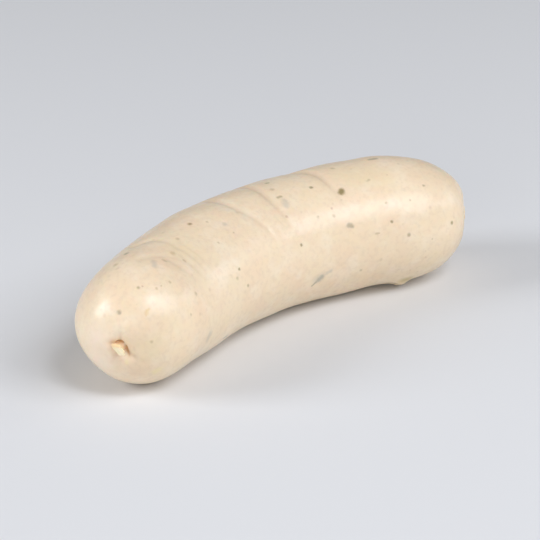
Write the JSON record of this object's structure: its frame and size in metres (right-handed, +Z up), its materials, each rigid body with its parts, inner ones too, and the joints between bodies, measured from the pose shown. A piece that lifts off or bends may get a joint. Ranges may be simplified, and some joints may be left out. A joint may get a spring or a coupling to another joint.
{
  "type": "white sausage",
  "caption": "Short, thick, gently curved boiled white sausage with green herb flecks, faint creases across its top and a pinched stub of casing at each end.",
  "frame": {"origin": "on the table under the middle of the sausage's bounding box", "axes": "+X along the chord of the bend, from the slimmer end to the fuller one; +Y towards the outer side of the bend; +Z up from the table"},
  "size_m": [0.1148, 0.0404, 0.0313],
  "materials": {
    "casing": "satin"
  },
  "bodies": {
    "root": {"sausage": "casing"}
  },
  "joints": []
}
